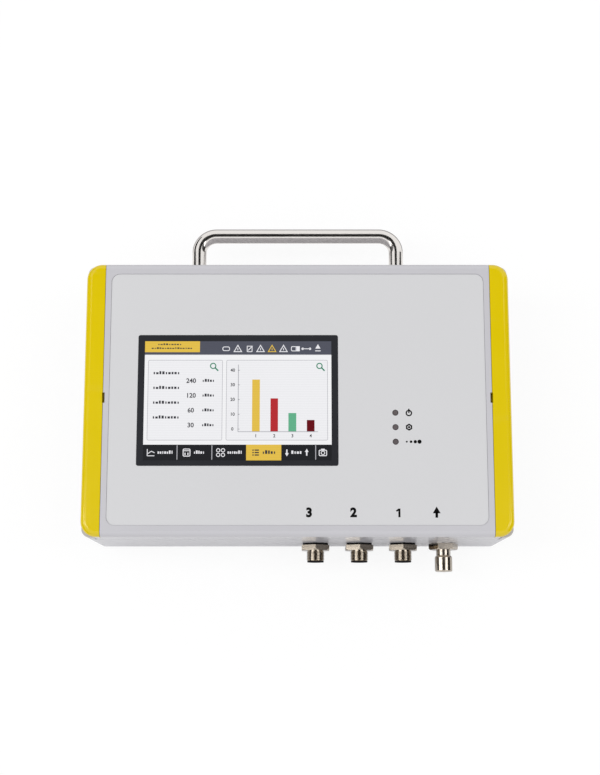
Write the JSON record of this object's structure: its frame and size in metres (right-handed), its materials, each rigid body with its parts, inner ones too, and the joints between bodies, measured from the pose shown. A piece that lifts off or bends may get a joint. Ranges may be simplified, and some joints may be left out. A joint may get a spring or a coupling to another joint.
{
  "type": "airborne particle counter",
  "caption": "Particle counter in a flat box with a hinged front, yellow closure strips, a display, a bow handle, threaded ports and an air inlet plug.",
  "frame": {"origin": "centre of the flat back face of the housing", "axes": "+X to the right of the front, +Y towards the handle, +Z out of the front face"},
  "size_m": [0.28, 0.2372, 0.09],
  "materials": {
    "housing": "light grey moulded housing, fine spark-eroded texture",
    "closure_yellow": "yellow moulded closure strips",
    "membrane": "printed polyester membrane, light grey",
    "window": "black printed window over a lit display",
    "led_lens": "smoked light pipes, unlit",
    "stainless": "brushed stainless steel",
    "nickel": "nickel-plated brass",
    "zinc_screw": "bright zinc-plated screws",
    "seal_rubber": "black rubber",
    "lid_foam": "dark grey foamed gasket",
    "port_plastic": "black glass-filled insulator",
    "gold_contact": "gold-plated contacts",
    "lead_jacket": "black lead jacket",
    "board_green": "green solder mask",
    "module_steel": "tinned display bezel",
    "chip_black": "black moulded packages",
    "block_aluminium": "black anodised aluminium",
    "laser_brass": "turned brass laser housing",
    "pump_plastic": "black pump head",
    "motor_steel": "zinc-plated motor can",
    "filter_shell": "white filter capsule",
    "hose_clear": "milky silicone hose"
  },
  "bodies": {
    "base": {"air_filter": "filter_shell", "base_shell": "housing", "block_nozzles": "stainless", "capacitors": "chip_black", "detector": "board_green", "filter_clips": "pump_plastic", "filter_hose": "hose_clear", "handle": "stainless", "handle_screws": "zinc_screw", "handle_washers": "stainless", "hinge_pins": "stainless", "inlet_hose": "hose_clear", "inlet_nut": "nickel", "inlet_plug": "stainless", "inlet_washer": "stainless", "laser_module": "laser_brass", "lead_headers": "filter_shell", "port_a_contacts": "gold_contact", "port_a_gasket": "seal_rubber", "port_a_insert": "port_plastic", "port_a_lead": "lead_jacket", "port_a_nut": "nickel", "port_a_shell": "nickel", "port_b_contacts": "gold_contact", "port_b_gasket": "seal_rubber", "port_b_insert": "port_plastic", "port_b_lead": "lead_jacket", "port_b_nut": "nickel", "port_b_shell": "nickel", "port_c_contacts": "gold_contact", "port_c_gasket": "seal_rubber", "port_c_insert": "port_plastic", "port_c_lead": "lead_jacket", "port_c_nut": "nickel", "port_c_shell": "nickel", "power_board": "board_green", "power_board_screws": "zinc_screw", "power_converter": "chip_black", "pump_dampers": "seal_rubber", "pump_head": "pump_plastic", "pump_hose": "hose_clear", "pump_motor": "motor_steel", "sensor_block": "block_aluminium", "sensor_screws": "zinc_screw"},
    "lid": {"lid_frame": "housing", "lid_gasket": "lid_foam", "front_membrane": "membrane", "display_window": "window", "display_module": "module_steel", "controller_board": "board_green", "controller_chips": "chip_black", "display_connector": "chip_black", "controller_screws": "zinc_screw", "led_board": "board_green", "power_led": "led_lens", "service_led": "led_lens", "counting_led": "led_lens"},
    "left_closure": {"left_closure": "closure_yellow"},
    "right_closure": {"right_closure": "closure_yellow"}
  },
  "joints": [
    {"name": "lid_hinge", "type": "hinge", "parent": "base", "child": "lid", "pos_m": [-0.136, 0, 0.0705], "axis": [0, -1, 0], "range_deg": [0, 90]},
    {"name": "left_closure_hinge", "type": "hinge", "parent": "lid", "child": "left_closure", "pos_m": [-0.136, 0, 0.0705], "axis": [0, -1, 0], "range_deg": [0, 45]},
    {"name": "right_closure_hinge", "type": "hinge", "parent": "base", "child": "right_closure", "pos_m": [0.136, 0, 0.0705], "axis": [0, 1, 0], "range_deg": [0, 45]}
  ]
}
